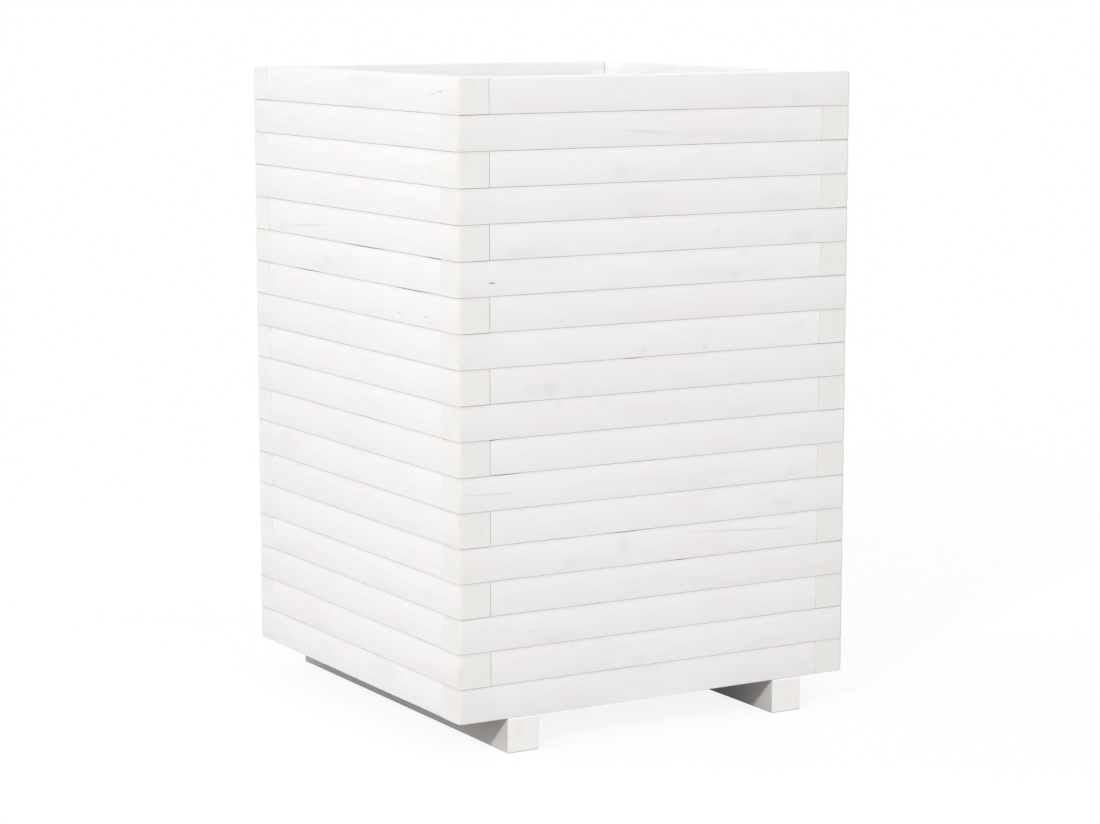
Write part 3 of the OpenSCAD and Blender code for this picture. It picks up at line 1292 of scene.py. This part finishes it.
def store(mesh: bpy.types.Mesh, name: str, values: np.ndarray) -> None:
    """Stores an attribute on a mesh.

    Args:
        mesh: the mesh.
        name: the attribute's name.
        values: a number or a row of 3 for each of its points.
    """
    vector = values.shape == (len(mesh.vertices), 3)
    kind, field_name = ("FLOAT_VECTOR", "vector") if vector else ("FLOAT", "value")
    layer = mesh.attributes.new(name, kind, "POINT")
    layer.data.foreach_set(field_name, np.ascontiguousarray(values, np.float32).ravel())


@dataclass(frozen=True)
class BarWalls:
    """The four walls: one bar in each wall of each course.

    Fields: side, of the box; depth, through a wall; bases, the heights of the courses' undersides;
    course_height; tight and open, the least and greatest gap at a bar's square end.
    """

    side: float
    depth: float
    bases: tuple[float, ...]
    course_height: float
    tight: tuple[float, float] = (0.1 * MM, 0.2 * MM)
    open: tuple[float, float] = (0.4 * MM, 0.5 * MM)

    @classmethod
    def from_frame(cls) -> "BarWalls":
        """Reads the sizes from the CAD: the courses, and one post, which stands against the walls.

        Returns:
            The walls in the part's own sizes.
        """
        courses = range(1, len(nodes_like("course_*_front_back")) + 1)
        boxes = [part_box(Wall.FRONT.node(course)) for course in courses]
        low, high = boxes[0]
        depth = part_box("front_left_post")[0].x - low.x
        return cls(high.x - low.x, depth, tuple(lo.z for lo, _ in boxes), high.z - low.z)

    def build(self, marked: PaintedPine, knotty: PaintedPine) -> Iterator[bpy.types.Object]:
        """Makes every bar, from the bottom course up.

        Front and back bars of even courses fit loosely.

        Args:
            marked: the finish of the front and left walls, which have placed marks.
            knotty: the finish of the other walls.

        Returns:
            The bars, one after another.
        """
        form = BarForm(self.side - self.depth, self.depth, self.course_height)
        marked_material = marked.bar_material("painted_pine_marked_bar")
        knotty_material = knotty.bar_material("painted_pine_knotty_bar")
        for course, base in enumerate(self.bases, 1):
            for wall in Wall:
                draw = np.random.default_rng((SEED, course, wall.value))
                gaps = self.open if wall in (Wall.FRONT, Wall.BACK) and course % 2 == 0 else self.tight
                fitted = replace(form, end_joint=draw.uniform(*gaps))
                covered = course < len(self.bases)
                material = marked_material if wall in (Wall.FRONT, Wall.LEFT) else knotty_material
                yield Bar(wall, course, base, self.side, covered, fitted).build(material, draw)


# Pieces that keep their CAD shape


def nodes_like(pattern: str) -> tuple[str, ...]:
    """Returns the names of the CAD nodes that match a pattern, in order."""
    return tuple(sorted(fnmatch.filter(frame["nodes"], pattern)))


@dataclass(frozen=True)
class PlainTimber:
    """CAD nodes of one kind of sawn timber, each cut from its own tree.

    Fields: nodes, their names; grain, which way it runs; pith, how far the pith lies from a piece, and
    along, how far up its tree the piece grew, least and greatest, metres.
    """

    nodes: tuple[str, ...]
    grain: Grain
    pith: tuple[float, float] = (0.02, 0.08)
    along: tuple[float, float] = (1, 30)

    def dress(self, finish: PaintedPine) -> Iterator[bpy.types.Object]:
        """Gives each node a finish with a pith of its own.

        Args:
            finish: the paint.

        Returns:
            The nodes, one after another.
        """
        for name in self.nodes:
            draw = np.random.default_rng((SEED, *name.encode()))
            low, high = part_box(name)
            away = Vector(draw.normal(size=3))
            axis = Vector(self.grain.axis())
            away -= away.dot(axis) * axis
            pith = (low + high) / 2 + away.normalized() * draw.uniform(*self.pith)
            pith += axis * draw.uniform(*self.along)
            yield give(name, finish.timber_material(f"painted_pine_{name}", self.grain, pith))


@dataclass(frozen=True)
class Screws:
    """CAD nodes of screws."""

    nodes: tuple[str, ...]

    def dress(self, finish: ZincPlate) -> Iterator[bpy.types.Object]:
        """Gives each node the plate's finish.

        Args:
            finish: the plate.

        Returns:
            The nodes, one after another.
        """
        material = finish.material()
        for name in self.nodes:
            yield give(name, material)


def give(name: str, material: bpy.types.Material) -> bpy.types.Object:
    """Puts a material in every slot of a CAD node.

    Args:
        name: the node's name.
        material: the material.

    Returns:
        The node.
    """
    node = frame["nodes"][name]
    for slot in node.material_slots:
        slot.material = material
    return node


# Studio


@dataclass(frozen=True)
class Lamp:
    """A round soft lamp.

    Fields: name; way, from the object towards it; distance and width, metres; light, what it gives a
    white surface that faces it, where 1 shows as white.
    """

    name: str
    way: tuple[float, float, float]
    distance: float
    width: float
    light: float

    def add(self, target: Vector) -> None:
        """Hangs the lamp. Its power is light * pi ** 2 * distance ** 2.

        Args:
            target: where it points.
        """
        data = bpy.data.lights.new(self.name, "AREA")
        data.shape, data.size = "DISK", self.width
        data.energy = self.light * math.pi**2 * self.distance**2
        way = Vector(self.way).normalized()
        lamp = add_object(self.name, data)
        lamp.location = target + way * self.distance
        lamp.rotation_euler = way.to_track_quat("Z", "Y").to_euler()


@dataclass(frozen=True)
class Studio:
    """Camera, soft lamps, pale floor and white background.

    Fields: lens and sensor, the camera's focal length and width, millimetres; eye, its place; pitch and
    yaw, how far it looks down and to the right, degrees; lamps; sky, its light at the horizon, and
    sky_dip, the share of that missing overhead; floor_size, metres; floor_colour, to the camera;
    floor_bounce, the share of light that it gives back, and card_bounce, that of a pale card between the
    runners, which ends over card_edge, metres, of its stretched distance from the middle; shadow, how
    much of the object's shadow shows on the floor, and shadow_fade, where that fades, metres.
    """

    lens: float = 95.07
    sensor: float = 36.0
    eye: tuple[float, float, float] = (-1.6742, -2.8574, 0.8117)
    pitch: float = 8.416
    yaw: float = 30.487
    lamps: tuple[Lamp, ...] = (
        Lamp("key", (-1.35, -1.0, 0.90), 9.0, 1.0, 0.507),
        Lamp("left_fill", (-1.0, 1.0, 0.7), 20.0, 10.0, 0.195),
        Lamp("right_fill", (1.0, -1.0, 0.3), 30.0, 11.25, 0.205),
        Lamp("back_fill", (1.0, 1.0, 0.2), 7.0, 3.0, 0.17),
    )
    sky: float = 1.03
    sky_dip: float = 0.47
    floor_size: float = 60.0
    floor_colour: Colour = (0.95, 0.95, 0.95, 1)
    floor_bounce: float = 0.3
    card_bounce: float = 0.95
    card_stretch: tuple[float, float, float] = (2, 1.1, 1)
    card_edge: tuple[float, float] = (0.26, 0.36)
    shadow: float = 0.12
    shadow_fade: tuple[float, float] = (0.8, 3.0)

    def build(self) -> None:
        """Makes the whole studio."""
        self._add_camera()
        low, high = CAD_BOX
        for lamp in self.lamps:
            lamp.add((low + high) / 2)
        self._add_sky()
        self._add_floor()
        bpy.context.scene.view_settings.view_transform = "Standard"

    def _add_camera(self) -> None:
        """Makes the camera at the photograph's angle."""
        data = bpy.data.cameras.new("camera")
        data.lens, data.sensor_width, data.sensor_fit = self.lens, self.sensor, "HORIZONTAL"
        camera = add_object("camera", data)
        camera.location = self.eye
        camera.rotation_euler = (math.radians(90 - self.pitch), 0, math.radians(-self.yaw))
        bpy.context.scene.camera = camera

    def _add_sky(self) -> None:
        """Makes a sky of strength sky * (1 - sky_dip * z) that the camera and metal see as white."""
        world = bpy.data.worlds.new("studio")
        t = Tree.of(world)
        rays = t.add("ShaderNodeLightPath").outputs
        seen = t.calc("MAXIMUM", rays["Is Camera Ray"], rays["Is Glossy Ray"])
        way = t.add("ShaderNodeTexCoord").outputs["Generated"]
        up = t.add("ShaderNodeSeparateXYZ", Vector=way).outputs["Z"]
        glow = t.calc("MULTIPLY_ADD", up, -self.sky * self.sky_dip, self.sky)
        strength = t.add("ShaderNodeMix", Factor=seen, A=glow, B=1.0).outputs["Result"]
        sky = t.add("ShaderNodeBackground", Color=(1, 1, 1, 1), Strength=strength)
        t.add("ShaderNodeOutputWorld", Surface=sky.outputs[0])
        bpy.context.scene.world = world

    def _add_floor(self) -> None:
        """Makes the floor: white to the camera but for a faint shadow that ends away from the object."""
        half = self.floor_size / 2
        corners = [(-half, -half, 0), (half, -half, 0), (half, half, 0), (-half, half, 0)]
        mesh = bpy.data.meshes.new("floor")
        mesh.from_pydata(corners, [], [(0, 1, 2, 3)])
        material = bpy.data.materials.new("pale_floor")
        t = Tree.of(material)
        seen = t.add("ShaderNodeLightPath").outputs["Is Camera Ray"]
        place = t.add("ShaderNodeTexCoord").outputs["Object"]
        shaded = t.calc("MULTIPLY", t.fade(t.length(place), *self.shadow_fade), self.shadow)
        white = t.calc("MULTIPLY", seen, t.calc("SUBTRACT", 1.0, shaded))
        card = t.length(t.vector("MULTIPLY", place, self.card_stretch))
        bounce = t.step(card, *self.card_edge, self.card_bounce, self.floor_bounce)
        colour = t.tint(seen, bounce, self.floor_colour)
        matt = t.add("ShaderNodeBsdfDiffuse", Color=colour).outputs[0]
        glow = t.add("ShaderNodeEmission", Color=(1, 1, 1, 1), Strength=1.0).outputs[0]
        mix = t.add("ShaderNodeMixShader")
        for socket, value in zip(mix.inputs, (white, matt, glow)):
            t.feed(socket, value)
        t.add("ShaderNodeOutputMaterial", Surface=mix.outputs[0])
        mesh.materials.append(material)
        floor = add_object("floor", mesh)


def report(title: str, pieces: Iterable[bpy.types.Object]) -> None:
    """Logs what a sub-assembly made, piece by piece.

    Args:
        title: the sub-assembly's name.
        pieces: its pieces, which are made while this runs.
    """
    names = []
    for piece in pieces:
        LOG.debug("%s: %s, %d faces", title, piece.name, len(piece.data.polygons))
        names.append(piece.name)
    LOG.info("%s: %d pieces, %s to %s", title, len(names), names[0], names[-1])


def main() -> None:
    logging.basicConfig(level=logging.INFO, format="%(name)s: %(message)s")
    Studio().build()
    effects = Effects.build()
    pine = PaintedPine(effects)
    report("walls", BarWalls.from_frame().build(MarkedPine(effects), KnottyPine(effects)))
    for title, pattern, grain, finish in (
        # the runners carry painted shade on their sides and painted light on their ends
        ("runners", "*_runner", Grain.ALONG_Y, RunnerPineShadedSidesLitEnds(effects)),
        ("posts", "*_post", Grain.ALONG_Z, pine),
        ("floor", "floor_board_*", Grain.ALONG_X, pine),
    ):
        report(title, PlainTimber(nodes_like(pattern), grain).dress(finish))
    report("screws", Screws(nodes_like("*_screws")).dress(ZincPlate()))


if __name__ == "__main__":
    main()
